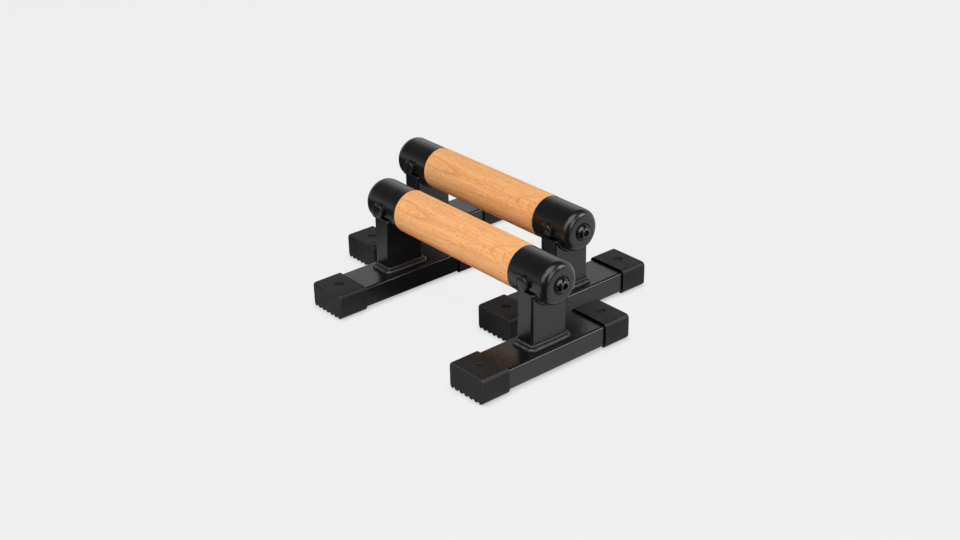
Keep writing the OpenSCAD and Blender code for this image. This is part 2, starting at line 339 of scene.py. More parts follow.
def circle(x, radius, steps):
    """A ring of points about X, or one point where the radius is 0."""
    if radius == 0:
        return [(x, 0.0, 0.0)]
    turns = [TAU * k / steps for k in range(steps)]
    return [(x, radius * math.cos(turn), radius * math.sin(turn)) for turn in turns]


def lathe(outline, closed=False, steps=LATHE_STEPS):
    """A solid of revolution about X from its (x, radius) outline."""
    return skin([circle(x, radius, steps) for x, radius in outline], closed)


def new_mesh(name, verts, faces):
    """A mesh whose faces all look outward."""
    mesh = bpy.data.meshes.new(name)
    mesh.from_pydata(verts, [], faces)
    shaped = bmesh.new()
    shaped.from_mesh(mesh)
    bmesh.ops.recalc_face_normals(shaped, faces=shaped.faces)
    shaped.to_mesh(mesh)
    shaped.free()
    return mesh


def new_object(name, data):
    thing = bpy.data.objects.new(name, data)
    bpy.context.scene.collection.objects.link(thing)
    return thing


def dress(node, shape, material, flips=(1, 1, 1), place=None):
    """Puts a new piece in a CAD node's stead, mirrored along the axes where flips is -1.

    The piece rides on the node's own bar. Without a place it is drawn about the bar's origin.
    """
    bar = node.split("_")[0]
    verts, faces = shape
    name = node + "_shape"
    mesh = new_mesh(name, [tuple(v[i] * flips[i] for i in range(3)) for v in verts], faces)
    mesh.shade_smooth()
    mesh.set_sharp_from_angle(angle=SHARP_ANGLE)
    mesh.materials.append(material)
    piece = new_object(name, mesh)
    piece.location = bar_origin(bar) if place is None else place
    weigh = piece.modifiers.new("even_normals", "WEIGHTED_NORMAL")
    weigh.keep_sharp = True
    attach(piece, bar + "_bar")
    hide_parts(node)


class Nodes:
    """Adds nodes to a tree. An input takes a number, a colour, a vector or another node's output."""

    def __init__(self, tree):
        self.tree = tree

    def fill(self, node, inputs):
        for key, value in inputs.items():
            if isinstance(value, bpy.types.NodeSocket):
                self.tree.links.new(value, node.inputs[key])
            else:
                node.inputs[key].default_value = value

    def add(self, kind, inputs, **settings):
        node = self.tree.nodes.new(kind)
        for key, value in settings.items():
            setattr(node, key, value)
        self.fill(node, inputs)
        return node

    def coords(self, kind):
        return self.add("ShaderNodeTexCoord", {}).outputs[kind]

    def place(self, scale, shift=(0, 0, 0)):
        """The place on the piece in metres, times a scale for each axis."""
        inputs = {"Vector": self.coords("Object"), "Scale": scale, "Location": shift}
        return self.add("ShaderNodeMapping", inputs).outputs["Vector"]

    def split(self, vector):
        """The X, Y and Z of a vector."""
        return self.add("ShaderNodeSeparateXYZ", {0: vector}).outputs

    def maths(self, operation, first, second):
        return self.add("ShaderNodeMath", {0: first, 1: second}, operation=operation).outputs[0]

    def vectors(self, operation, first, second=(0, 0, 0)):
        """The node of an operation on vectors, whose output is its Vector or its Value."""
        return self.add("ShaderNodeVectorMath", {0: first, 1: second}, operation=operation)

    def ramp(self, source, low, high, start=0.0, end=1.0):
        """source, spread smoothly from the range low..high onto start..end and held there."""
        inputs = {"Value": source, "From Min": low, "From Max": high, "To Min": start, "To Max": end}
        return self.add("ShaderNodeMapRange", inputs, interpolation_type="SMOOTHSTEP").outputs["Result"]

    def spread(self, source, span, low):
        """source, from 0 to 1, spread evenly onto the range from low to low + span."""
        return self.maths("ADD", self.maths("MULTIPLY", source, span), low)

    def mix(self, share, first, second, mode="MIX"):
        """Two colours, mixed by the share of the second."""
        inputs = {MIX_SHARE: share, MIX_FIRST: first, MIX_SECOND: second}
        return self.add("ShaderNodeMix", inputs, data_type="RGBA", blend_type=mode).outputs[MIX_RESULT]

    def grain(self, stretch, detail, roughness=0.5, scale=1.0):
        """Noise from 0 to 1 over the piece."""
        inputs = {"Vector": self.place(stretch), "Scale": scale, "Detail": detail, "Roughness": roughness}
        return self.add("ShaderNodeTexNoise", inputs).outputs["Fac"]

    def even_grain(self, per_m, detail, roughness=0.5):
        """Noise from 0 to 1 that changes as often along each axis."""
        return self.grain((1, 1, 1), detail, roughness, per_m)

    def layers(self, depth, per_m, detail, roughness=0.5):
        """Noise from 0 to 1 that changes with depth alone."""
        inputs = {"W": depth, "Scale": per_m, "Detail": detail, "Roughness": roughness}
        return self.add("ShaderNodeTexNoise", inputs, noise_dimensions="1D").outputs["Fac"]

    def bump(self, height, strength, distance):
        inputs = {"Height": height, "Strength": strength, "Distance": distance}
        return self.add("ShaderNodeBump", inputs).outputs["Normal"]


def new_material(name):
    """A material, its nodes and its Principled shader."""
    material = bpy.data.materials.new(name)
    material.use_nodes = True
    return material, Nodes(material.node_tree), material.node_tree.nodes["Principled BSDF"]


def layer_depth(nodes, along, across, up, wave):
    """How deep in the plank a place lies."""
    forward = nodes.maths("MULTIPLY", across, FACE_ACROSS)
    facing = nodes.maths("ADD", forward, nodes.maths("MULTIPLY", up, FACE_UP))
    dip = nodes.maths("MULTIPLY", nodes.ramp(along, DIP_START, DIP_FULL), DIP_DEPTH)
    slope = nodes.maths("MULTIPLY", along, LAYER_SLOPE)
    warp = nodes.maths("MULTIPLY", wave, WAVE_DEPTH)
    return nodes.maths("ADD", nodes.maths("ADD", facing, dip), nodes.maths("ADD", slope, warp))


def dark_flecks(nodes, stretch, shift, share):
    """Short dashes along the grain in a share of the cells."""
    place = nodes.place(stretch, (shift, 0, 0))
    cells = nodes.add("ShaderNodeTexVoronoi", {"Vector": place, "Scale": 1.0, "Randomness": 1.0})
    dash = nodes.ramp(cells.outputs["Distance"], FLECK_RIM, FLECK_CORE)
    chance = nodes.add("ShaderNodeSeparateColor", {0: cells.outputs["Color"]}).outputs[0]
    chosen = nodes.ramp(chance, 1.0 - share, 1.0 - share + FLECK_FADE)
    return nodes.maths("MULTIPLY", dash, chosen)


def beech_material():
    """Beech in a thin varnish: growth layers that run out near the right end, fibres, dark flecks and a
    painted shade on its lower side.
    """
    material, nodes, shader = new_material("beech")
    along, across, up = nodes.split(nodes.coords("Object"))
    wave = nodes.grain(WAVE_GRAIN, detail=1.0)
    coarse = nodes.grain(COARSE_GRAIN, detail=3.0, roughness=0.6)
    fine = nodes.grain(FINE_GRAIN, detail=2.0, roughness=0.7)

    depth = layer_depth(nodes, along, across, up, wave)
    layer = nodes.ramp(nodes.layers(depth, LAYERS_PER_M, detail=3.0, roughness=0.62), *LAYER_EDGE)
    line = nodes.ramp(nodes.layers(depth, LINES_PER_M, detail=1.0), *LINE_EDGE)
    # Redder and darker below the axis: a painted shade on the lower side
    down = nodes.maths("MULTIPLY", up, -1.0)
    waved = nodes.maths("SUBTRACT", down, nodes.maths("MULTIPLY", wave, UNDERSIDE_SHADE_WAVE))
    underside_shade = nodes.ramp(waved, UNDERSIDE_SHADE_START, UNDERSIDE_SHADE_FULL, 0.0, UNDERSIDE_SHADE_SHARE)

    long = dark_flecks(nodes, LONG_FLECKS, 0.0, LONG_FLECK_SHARE)
    short = dark_flecks(nodes, SHORT_FLECKS, SHORT_FLECK_SHIFT, SHORT_FLECK_SHARE)
    bunches = nodes.ramp(nodes.grain(PATCH_GRAIN, detail=1.0), *BUNCH_EDGE, BUNCH_LEAST, 1.0)
    flecks = nodes.maths("MULTIPLY", nodes.maths("MAXIMUM", long, short), bunches)

    fibres = nodes.maths("ADD", nodes.maths("MULTIPLY", coarse, 0.5), nodes.maths("MULTIPLY", fine, 0.5))
    colour = nodes.mix(nodes.ramp(fibres, *FIBRE_EDGE), BEECH_DARK, BEECH_LIGHT)
    colour = nodes.mix(nodes.maths("MULTIPLY", layer, LAYER_SHARE), colour, LAYER_COLOUR)
    colour = nodes.mix(nodes.maths("MULTIPLY", line, LINE_SHARE), colour, LINE_COLOUR)
    colour = nodes.mix(underside_shade, colour, UNDERSIDE_SHADE_COLOUR)
    colour = nodes.mix(nodes.maths("MULTIPLY", flecks, FLECK_SHARE), colour, FLECK_COLOUR)
    relief = nodes.maths("SUBTRACT", fine, nodes.maths("MULTIPLY", flecks, FLECK_PIT))
    nodes.fill(shader, {
        "Base Color": colour,
        "Roughness": nodes.spread(fine, span=0.16, low=0.46),
        "Specular IOR Level": BEECH_GLOSS,
        "Normal": nodes.bump(relief, strength=0.35, distance=0.06 * MM),
    })
    return material


def coat_material(name, colour, roughness, peel_per_m, peel_depth):
    """Powder coat: an even colour with orange peel."""
    material, nodes, shader = new_material(name)
    cloud = nodes.ramp(nodes.even_grain(COAT_CLOUDS_PER_M, detail=2.0), CLOUD_LOW, CLOUD_HIGH)
    darker = tuple(COAT_DARKER * part for part in colour) + (1,)
    lighter = tuple(COAT_LIGHTER * part for part in colour) + (1,)
    peel = nodes.even_grain(peel_per_m, detail=2.0, roughness=0.55)
    nodes.fill(shader, {
        "Base Color": nodes.mix(cloud, darker, lighter),
        "Roughness": nodes.spread(peel, COAT_ROUGH_SPAN, roughness - COAT_ROUGH_SPAN / 2),
        "Specular IOR Level": COAT_GLOSS,
        "Normal": nodes.bump(peel, strength=0.5, distance=peel_depth),
    })
    return material


def rubber_material():
    """Moulded rubber: matte, faintly mottled, with the fine tooth of its mould and a painted highlight on its
    edges.
    """
    material, nodes, shader = new_material("rubber")
    cloud = nodes.even_grain(RUBBER_CLOUDS_PER_M, detail=4.0, roughness=0.6)
    colour = nodes.mix(nodes.ramp(cloud, CLOUD_LOW, CLOUD_HIGH), RUBBER_DARK, RUBBER_LIGHT)
    facing = nodes.split(nodes.vectors("ABSOLUTE", nodes.coords("Normal")).outputs["Vector"])
    flatness = nodes.maths("MAXIMUM", nodes.maths("MAXIMUM", facing["X"], facing["Y"]), facing["Z"])
    # Paler colour on the rounded edges, found from the normals: a painted highlight
    edge = nodes.ramp(flatness, RUBBER_FLAT, RUBBER_ROUND)
    tooth = nodes.even_grain(RUBBER_TOOTH_PER_M, detail=2.0, roughness=0.7)
    nodes.fill(shader, {
        "Base Color": nodes.mix(edge, colour, RUBBER_EDGE_HIGHLIGHT),
        "Roughness": nodes.spread(tooth, span=0.14, low=0.52),
        "Specular IOR Level": RUBBER_GLOSS,
        "Normal": nodes.bump(tooth, strength=0.4, distance=0.05 * MM),
    })
    return material


def bolt_material(name, colour, roughness, gloss):
    """Black oxide on steel, with faint smudges in its gloss."""
    material, nodes, shader = new_material(name)
    smudge = nodes.even_grain(SMUDGES_PER_M, detail=3.0, roughness=0.6)
    nodes.fill(shader, {
        "Base Color": (*colour, 1),
        "Roughness": nodes.spread(smudge, SMUDGE_ROUGH_SPAN, roughness - SMUDGE_ROUGH_SPAN / 2),
        "Specular IOR Level": gloss,
        "Normal": nodes.bump(smudge, strength=0.15, distance=0.03 * MM),
    })
    return material


def handle_shape(bar):
    """The whole handle: grip, turned-down ends and the bores for the end bolts."""
    half = box_size(f"{bar}_handle").x / 2
    grip_r = box_size(f"{bar}_handle").z / 2
    shoulder = span_along(bar, f"{bar}_right_cup")[0] - SHOULDER_GAP
    tenon_r = half_height(f"{bar}_right_cup") - CUP_WALL - HANDLE_FIT
    bore = span_along(bar, f"{bar}_right_end_bolt")[0] - BOLT_TIP_ROOM
    right_end = [
        (bore, 0, 0),
        (bore, BOLT_HOLE_R, 0),
        (half, BOLT_HOLE_R, SMALL_ROUND),
        (half, tenon_r, HANDLE_END_ROUND),
        (shoulder, tenon_r, 0),
        (shoulder, grip_r, GRIP_ROUND),
    ]
    left_end = [(-x, radius, arc) for x, radius, arc in reversed(right_end)]
    return lathe(rounded_path(right_end + left_end))


def cup_shape(bar):
    """A cup open towards the bar's middle, with the end bolt's recess and hole in its closed end."""
    rim, end = span_along(bar, f"{bar}_right_cup")
    outer_r = half_height(f"{bar}_right_cup")
    return lathe(rounded_path([
        (rim, outer_r - CUP_WALL, SMALL_ROUND),
        (rim, outer_r, CUP_RIM_ROUND),
        (end, outer_r, CUP_EDGE_ROUND),
        (end, RECESS_R, RECESS_ROUND),
        (end - RECESS_DEPTH, RECESS_R, SMALL_ROUND),
        (end - RECESS_DEPTH, BOLT_HOLE_R, SMALL_ROUND),
        (end - CUP_END_T, BOLT_HOLE_R, SMALL_ROUND),
        (end - CUP_END_T, outer_r - CUP_WALL, SMALL_ROUND),
    ], closed=True), closed=True)


def washer_shape(bar):
    inner, outer = span_along(bar, f"{bar}_right_end_washer")
    radius = half_height(f"{bar}_right_end_washer")
    return lathe(rounded_path([
        (inner, BOLT_HOLE_R, SMALL_ROUND),
        (inner, radius, SMALL_ROUND),
        (outer, radius, SMALL_ROUND),
        (outer, BOLT_HOLE_R, SMALL_ROUND),
    ], closed=True), closed=True)


def button_dome(seat, head_r):
    """An arc from the rim's upper edge to the edge of the flat top, round a point on the axis."""
    rise = BOLT_HEAD_H - BOLT_RIM_H
    centre = (BOLT_FLAT_R ** 2 + BOLT_HEAD_H ** 2 - head_r ** 2 - BOLT_RIM_H ** 2) / (2 * rise)
    radius = math.hypot(BOLT_FLAT_R, BOLT_HEAD_H - centre)
    first = math.atan2(BOLT_RIM_H - centre, head_r)
    last = math.atan2(BOLT_HEAD_H - centre, BOLT_FLAT_R)
    dome = []
    for k in range(1, BOLT_DOME_STEPS + 1):
        turn = first + (last - first) * k / BOLT_DOME_STEPS
        dome.append((seat + centre + radius * math.sin(turn), radius * math.cos(turn)))
    return dome


def hexagon_socket(top):
    """The rings of a hexagon socket with a bevelled mouth and a pointed floor."""
    mouth, floor = [], []
    for k in range(BOLT_STEPS):
        turn = TAU * k / BOLT_STEPS
        off_flat = turn % (TAU / 6) - TAU / 12
        radius = SOCKET_W / 2 / math.cos(off_flat)
        y, z = radius * math.cos(turn), radius * math.sin(turn)
        mouth.append((top - (SOCKET_MOUTH_R - radius), y, z))
        floor.append((top - SOCKET_DEPTH, y, z))
    return [mouth, floor, [(top - SOCKET_DEPTH - SOCKET_POINT, 0.0, 0.0)]]


def end_bolt_shape(bar):
    """A shank with a button head that has a domed top, a flat and a hexagon socket."""
    tip, top = span_along(bar, f"{bar}_right_end_bolt")
    head_r = half_height(f"{bar}_right_end_bolt")
    seat = top - BOLT_HEAD_H
    outline = rounded_path([
        (tip, 0, 0),
        (tip, BOLT_R - BOLT_TIP_BEVEL, 0),
        (tip + BOLT_TIP_BEVEL, BOLT_R, 0),
        (seat, BOLT_R, 0),
        (seat, head_r, BOLT_EDGE_ROUND),
        (seat + BOLT_RIM_H, head_r, 0),
    ])
    outline += button_dome(seat, head_r)
    outline.append((top, SOCKET_MOUTH_R))
    return skin([circle(x, radius, BOLT_STEPS) for x, radius in outline] + hexagon_socket(top))


def cross_bolt_shape(bar):
    """Round head with a low dome on a shank that runs through the cup and the wood, along -Y."""
    low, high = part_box(f"{bar}_right_cross_bolt")
    face = bar_origin(bar).y - low[1]
    head_r = (high[0] - low[0]) / 2
    dome_r = (head_r ** 2 + CROSS_DOME ** 2) / (2 * CROSS_DOME)

    # The last corner only turns the edge's arc towards the dome, and is left out
    outline = rounded_path([
        (-CROSS_REACH, 0, 0),
        (-CROSS_REACH, CROSS_R, SMALL_ROUND),
        (CROSS_SEAT, CROSS_R, 0),
        (CROSS_SEAT, head_r, 0),
        (face - CROSS_DOME, head_r, CROSS_EDGE_ROUND),
        (face - CROSS_DOME / 2, head_r * CROSS_HALF_RISE, 0),
    ])[:-1]
    for k in range(1, CROSS_DOME_STEPS + 1):
        radius = (head_r - CROSS_EDGE_ROUND) * (1 - k / CROSS_DOME_STEPS)
        outline.append((face - dome_r + math.sqrt(dome_r ** 2 - radius ** 2), radius))
    verts, faces = lathe(outline)
    return [(y, -x, z) for x, y, z in verts], faces


def weld_seed(bar, side, seeds):
    """A place in the noise for each weld, so that no two have the same lumps."""
    return seeds[0] * BARS.index(bar) + seeds[1] * SIDES.index(side)


def sweep(path, outward, section, seed):
    """A rippled bead along a closed path: section(outward) gives its (outward, up) points."""
    rings = []
    length = 0.0
    for i, (place, out) in enumerate(zip(path, outward)):
        if i:
            length += (place - path[i - 1]).length
        phase = (length / RIPPLE_PITCH) % 1.0
        ripple = 0.5 - 2.0 * abs(phase - 0.5)
        lump = noise.noise(Vector((length / LUMP_LENGTH, seed, 0.5)))
        swell = 1.0 + RIPPLE_DEPTH * (ripple + LUMP_SHARE * lump)
        rings.append([tuple(place + out * (off * swell) + UP * (rise * swell)) for off, rise in section(out)])
    return skin(rings, closed=True)


def post_outline(half_x, half_y):
    """Points round a post's rounded outline, close enough for the ripples, and outward directions."""
    spacing = RIPPLE_PITCH / RIPPLE_SAMPLES
    signs = ((1, -1), (1, 1), (-1, 1), (-1, -1))
    centres = [Vector((x * (half_x - TUBE_R), y * (half_y - TUBE_R), 0)) for x, y in signs]
    places, outs = [], []
    for i, centre in enumerate(centres):
        run = centres[(i + 1) % len(centres)] - centre
        heading = run.normalized()
        side = Vector((heading.y, -heading.x, 0))
        start_turn = math.atan2(side.y, side.x) - QUARTER
        arc_count = max(3, round(TUBE_R * QUARTER / spacing))
        for k in range(arc_count):
            turn = start_turn + QUARTER * k / arc_count
            out = Vector((math.cos(turn), math.sin(turn), 0))
            places.append(centre + out * TUBE_R)
            outs.append(out)
        run_count = max(1, round(run.length / spacing))
        for k in range(run_count):
            places.append(centre + side * TUBE_R + heading * (run.length * k / run_count))
            outs.append(side.copy())
    return places, outs


def foot_weld_section():
    """Two lobes, a thin one against the post over a thick one on the foot, closed inside the steel."""
    points = []
    for k in range(FOOT_WELD_STEPS + 1):
        turn = QUARTER * k / FOOT_WELD_STEPS
        ray = Vector((math.cos(turn), math.sin(turn)))
        far = 0.0
        for x, y, radius in (FOOT_LOBE, POST_LOBE):
            centre = Vector((x, y))
            reach = ray.dot(centre)
            inside = radius ** 2 - (centre.length_squared - reach ** 2)
            if inside > 0:
                far = max(far, reach + math.sqrt(inside))
        points.append((ray.x * far * MM, ray.y * far * MM))
    points.append((-FOOT_WELD_SINK, points[-1][1]))
    points.append((-FOOT_WELD_SINK, -FOOT_WELD_UNDER))
    points.append((points[0][0], -FOOT_WELD_UNDER))
    return points


def foot_weld_shape(bar, side):
    """A double bead round the post's base, a little wider on its near and far sides."""
    post = box_size(f"{bar}_{side}_post")
    middle = box_middle(f"{bar}_right_post") - bar_origin(bar)
    foot_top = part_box(f"{bar}_right_foot_tube")[1][2] - bar_origin(bar).z
    places, outs = post_outline(post.x / 2, post.y / 2)
    base = Vector((middle.x, middle.y, foot_top))
    lobes = foot_weld_section()

    def section(out):
        wider = 1 + FOOT_WELD_ACROSS * out.y ** 2
        return [(off * wider if off > 0 else off, rise) for off, rise in lobes]

    return sweep([base + p for p in places], outs, section, weld_seed(bar, side, FOOT_WELD_SEEDS))


def cup_weld_shape(bar, side):
    """A bead round the post's top under the cup, thin beside the cross bolt's head."""
    post = box_size(f"{bar}_{side}_post")
    middle = box_middle(f"{bar}_right_post") - bar_origin(bar)
    cup_r = box_size(f"{bar}_right_cup").z / 2
    post_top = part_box(f"{bar}_right_post")[1][2] - bar_origin(bar).z
    places, outs = post_outline(post.x / 2, post.y / 2)
    path = []
    for place in places:
        reach = min(abs(place.y), cup_r)
        height = -math.sqrt(cup_r ** 2 - reach ** 2)
        path.append(Vector((middle.x + place.x, middle.y + place.y, min(height, post_top))))

    def section(out):
        leg = CUP_WELD_THIN + (CUP_WELD_LEG - CUP_WELD_THIN) * out.x ** 2
        points = []
        for k in range(CUP_WELD_STEPS + 1):
            turn = math.pi * (k / CUP_WELD_STEPS - 0.5)
            tall = min(leg, CUP_WELD_THIN) if turn > 0 else leg
            points.append((leg * math.cos(turn), tall * math.sin(turn)))
        return points + [(-CUP_WELD_SINK, CUP_WELD_THIN), (-CUP_WELD_SINK, -CUP_WELD_BOTTOM * leg)]

    return sweep(path, outs, section, weld_seed(bar, side, CUP_WELD_SEEDS))


def cap_outline(half_w, height, inset, flare):
    """A cap's section on its sole: round corners, and round ribs between grooves that flare widens."""
    high = height - inset
    side = half_w - inset
    top_r = CAP_TOP_ROUND - inset
    sole_r = CAP_SOLE_ROUND - inset
    pitch = 2 * half_w / RIB_COUNT
    rib_half = math.sqrt(2 * RIB_ROUND * RIB_DEPTH - RIB_DEPTH ** 2)
    groove_half = rib_half + (RIB_GAP + flare) / 2

    def lift(x):
        away = min(abs(x - (i * pitch - half_w)) for i in range(1, RIB_COUNT))
        run = min(max(groove_half - away, 0), rib_half)
        return RIB_ROUND - math.sqrt(RIB_ROUND ** 2 - run ** 2)

    def arc(x, z, radius, start, end, steps):
        for k in range(steps + 1):
            turn = math.radians(start + (end - start) * k / steps)
            place = x + radius * math.cos(turn)
            points.append((place, max(z + radius * math.sin(turn), lift(place))))

    points = []
    flat = half_w - CAP_SOLE_ROUND
    count = round(2 * flat / SOLE_STEP)
    arc(-flat, sole_r, sole_r, 180, 270, 2 * ARC_STEPS)
    for k in range(1, count):
        x = flat * (2 * k / count - 1)
        points.append((x, lift(x)))
    arc(flat, sole_r, sole_r, 270, 360, 2 * ARC_STEPS)
    arc(side - top_r, high - top_r, top_r, 0, 90, ARC_STEPS)
    arc(-side + top_r, high - top_r, top_r, 90, 180, ARC_STEPS)
    return points


def cap_openings(bar, half_w, height):
    """The outlines of the mouth, wider at the top and the sides, and of the bore that the tube sits in."""
    tube = box_size(f"{bar}_right_foot_tube")
    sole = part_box(f"{bar}_right_foot_tube")[0][2]
    bore_w, bore_h, bore_r = tube.x / 2 + CAP_FIT, tube.z / 2 + CAP_FIT, TUBE_R + CAP_FIT
    mid_z = sole + tube.z / 2
    bottom = mid_z - bore_h

    def opening(half, top, top_r):
        return rounded_path([
            (-bore_w, bottom, bore_r),
            (bore_w, bottom, bore_r),
            (half, bottom + CAP_FLARE_LOW, 0),
            (half, top, top_r),
            (-half, top, top_r),
            (-half, bottom + CAP_FLARE_LOW, 0),
        ], closed=True)

    lip = CAP_MOUTH_ROUND + CAP_LIP
    mouth = opening(half_w - lip, height - lip, CAP_TOP_ROUND - lip)
    return mouth, opening(bore_w, mid_z + bore_h, bore_r)


def cap_blank(bar):
    """The mesh of a cap without its dimple, open at Y 0 and closed at its far end."""
    size = box_size(f"{bar}_right_far_foot_cap")
    half_w, length, height = size.x / 2, size.y, size.z
    shaped = bmesh.new()

    def add_ring(outline, y):
        return [shaped.verts.new((x, y, z)) for x, z in outline]

    def add_walls(rings):
        for first, second in zip(rings, rings[1:]):
            for k in range(len(first)):
                n = (k + 1) % len(first)
                shaped.faces.new((first[k], first[n], second[n], second[k]))
        shaped.faces.new(rings[-1])

    turns = [QUARTER * k / CAP_ARC_STEPS for k in range(CAP_ARC_STEPS + 1)]
    outside = []
    for turn in turns:
        outline = cap_outline(half_w, height, CAP_MOUTH_ROUND * (1 - math.sin(turn)), 0)
        outside.append(add_ring(outline, CAP_MOUTH_ROUND * (1 - math.cos(turn))))
    for turn in turns:
        rise = 1 - math.cos(turn)
        outline = cap_outline(half_w, height, CAP_END_ROUND * rise, RIB_FLARE * rise)
        outside.append(add_ring(outline, length - CAP_END_ROUND * (1 - math.sin(turn))))
    add_walls(outside)

    mouth, bore = cap_openings(bar, half_w, height)
    inside = [add_ring(mouth, 0.0), add_ring(bore, CAP_FLARE), add_ring(bore, length - CAP_END_T)]
    add_walls(inside)

    rim_edges = []
    for loop in (outside[0], inside[0]):
        for k, corner in enumerate(loop):
            rim_edges.append(shaped.edges.get((corner, loop[(k + 1) % len(loop)])))
    bmesh.ops.triangle_fill(shaped, use_beauty=True, use_dissolve=False, edges=rim_edges, normal=(0, -1, 0))
    bmesh.ops.recalc_face_normals(shaped, faces=shaped.faces)
    mesh = bpy.data.meshes.new("cap_blank")
    shaped.to_mesh(mesh)
    shaped.free()
    return mesh


def dimple_cutter(bar):
    """The mesh that cuts the dimple in a cap's top: a turned shape whose edge flares into a round lip."""
    size = box_size(f"{bar}_right_far_foot_cap")
    length, height = size.y, size.z
    profile = rounded_path([
        (height - DIMPLE_DEPTH, 0, 0),
        (height - DIMPLE_DEPTH, DIMPLE_R, DIMPLE_LIP),
        (height - DIMPLE_LIP, DIMPLE_R, 0),
        (height + DIMPLE_LIP, DIMPLE_R + 2 * DIMPLE_LIP, 0),
        (height + DIMPLE_LIP, 0, 0),
    ])
    verts, faces = lathe(profile, steps=DIMPLE_STEPS)
    return new_mesh("cap_cutter", [(y, z + length / 2, x) for x, y, z in verts], faces)


def cap_shape(bar):
    """A rubber cap, its mouth towards the bar's middle at Y 0, as vertices and faces."""
    blank = new_object("cap_blank", cap_blank(bar))
    cutter = new_object("cap_cutter", dimple_cutter(bar))
    cut = blank.modifiers.new("dimple", "BOOLEAN")
    cut.operation = "DIFFERENCE"
    cut.solver = "EXACT"
    cut.object = cutter
    bpy.context.view_layer.update()
    done = blank.evaluated_get(bpy.context.evaluated_depsgraph_get()).to_mesh()
    verts = [tuple(v.co) for v in done.vertices]
    faces = [tuple(face.vertices) for face in done.polygons]
    for thing in (blank, cutter):
        mesh = thing.data
        bpy.data.objects.remove(thing)
        bpy.data.meshes.remove(mesh)
    return verts, faces


def make_camera():
    data = bpy.data.cameras.new("camera")
    data.sensor_width = SENSOR_WIDTH
    data.lens = CAMERA_LENS
    data.clip_start = CLIP_NEAR
    data.clip_end = CLIP_FAR
    camera = new_object("camera", data)
    forward = Vector((
        -math.sin(CAMERA_AZIMUTH) * math.cos(CAMERA_ELEVATION),
        math.cos(CAMERA_AZIMUTH) * math.cos(CAMERA_ELEVATION),
        -math.sin(CAMERA_ELEVATION),
    ))
    turn = forward.to_track_quat("-Z", "Y").to_matrix().to_4x4()
    camera.matrix_world = Matrix.Translation(CAMERA_PLACE) @ turn @ Matrix.Rotation(CAMERA_ROLL, 4, "Z")
    bpy.context.scene.camera = camera


def softbox(name, place, size, watts):
    """A lamp with a rectangular face that looks at the pair."""
    data = bpy.data.lights.new(name, "AREA")
    data.shape = "RECTANGLE"
    data.size, data.size_y = size
    data.energy = watts
    lamp = new_object(name, data)
    lamp.location = place
    lamp.rotation_euler = (LAMP_AIM - Vector(place)).to_track_quat("-Z", "Y").to_euler()


def make_lights():
    softbox("top_box", place=(0.75, -0.65, 2.1), size=(2.0, 2.0), watts=37)
    softbox("left_box", place=(0.30, -2.0, 1.30), size=(1.8, 1.6), watts=18)
    softbox("right_box", place=(2.2, -0.15, 0.75), size=(0.9, 1.2), watts=11)
    softbox("rim_box", place=(1.65, 1.40, 1.10), size=(0.9, 0.9), watts=15)


def level_direction(azimuth):
    """The level direction from the pair to a camera at an azimuth."""
    return (math.sin(azimuth), -math.cos(azimuth), 0)


def seen_rays(nodes, rays, kinds):
    """1 for a ray of any of these kinds, otherwise 0."""
    total = rays[kinds[0]]
    for kind in kinds[1:]:
        total = nodes.maths("MAXIMUM", total, rays[kind])
    return total


def make_world():
    """Pale all round up to the height of a backdrop, dark overhead and in front."""
    world = bpy.data.worlds.new("studio")
    world.use_nodes = True
    bpy.context.scene.world = world
    nodes = Nodes(world.node_tree)
    toward = nodes.coords("Generated")
    level = nodes.vectors("MULTIPLY", toward, (1, 1, 0)).outputs["Vector"]
    heading = nodes.vectors("NORMALIZE", level).outputs["Vector"]
    facing = nodes.vectors("DOT_PRODUCT", heading, level_direction(FRONT_AZIMUTH)).outputs["Value"]
    nearing = nodes.vectors("DOT_PRODUCT", toward, level_direction(CAMERA_AZIMUTH)).outputs["Value"]
    height = nodes.maths("ADD", nodes.split(toward)["Z"], nodes.maths("MULTIPLY", nearing, CEILING_LEAN))
    colour = nodes.mix(nodes.ramp(height, CEILING_START, CEILING_FULL), BACKGROUND, CEILING)
    colour = nodes.mix(nodes.ramp(facing, FRONT_START, FRONT_FULL), colour, DARK_FRONT)

    light = world.node_tree.nodes["Background"]
    nodes.fill(light, {"Color": colour, "Strength": WORLD_LIGHT})
    plain = nodes.add("ShaderNodeBackground", {"Color": colour})
    rays = nodes.add("ShaderNodeLightPath", {}).outputs
    seen = seen_rays(nodes, rays, ("Is Camera Ray", "Is Glossy Ray", "Is Transmission Ray"))
    mix = nodes.add("ShaderNodeMixShader", {"Fac": seen, 1: light.outputs[0], 2: plain.outputs[0]})
    nodes.fill(world.node_tree.nodes["World Output"], {"Surface": mix.outputs[0]})


